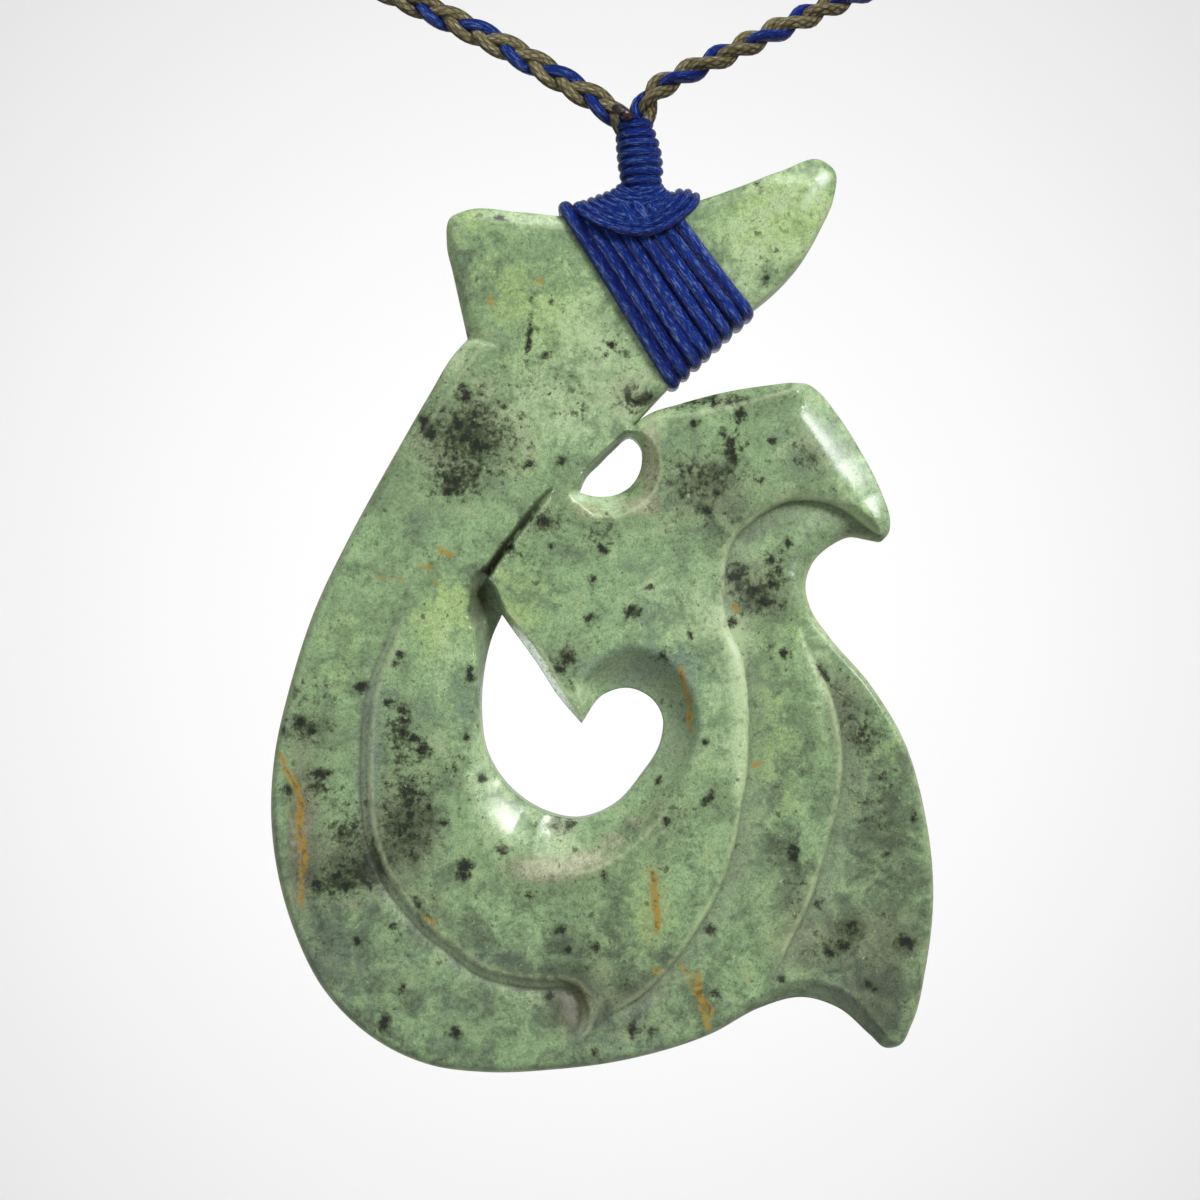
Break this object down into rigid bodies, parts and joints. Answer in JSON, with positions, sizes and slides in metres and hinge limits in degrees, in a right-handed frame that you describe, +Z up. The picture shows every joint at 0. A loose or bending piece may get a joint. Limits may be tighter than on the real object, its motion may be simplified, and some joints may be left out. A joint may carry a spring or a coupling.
{
  "type": "carved stone pendant on a plaited neck cord",
  "caption": "Flat carved jade hammerhead shark pendant with layered fins and piercings, lashed with waxed cord to a plaited neck cord loop.",
  "frame": {"origin": "centre of the neck cord at the nape, where the necklace hangs on the back of the neck", "axes": "+Z up, front of the pendant toward -Y, +X to the right as the pendant is seen from the front"},
  "size_m": [0.136, 0.1332, 0.1678],
  "materials": {
    "jade": "polished",
    "blue_cord": "satin",
    "melted_end": "satin",
    "khaki_cord": "matte"
  },
  "bodies": {
    "root": {"jade_carving": "jade", "lashing": "blue_cord", "saddle_turns": "blue_cord", "whipping": "blue_cord", "cord_end": "melted_end", "plaited_cord": "khaki_cord"}
  },
  "joints": []
}
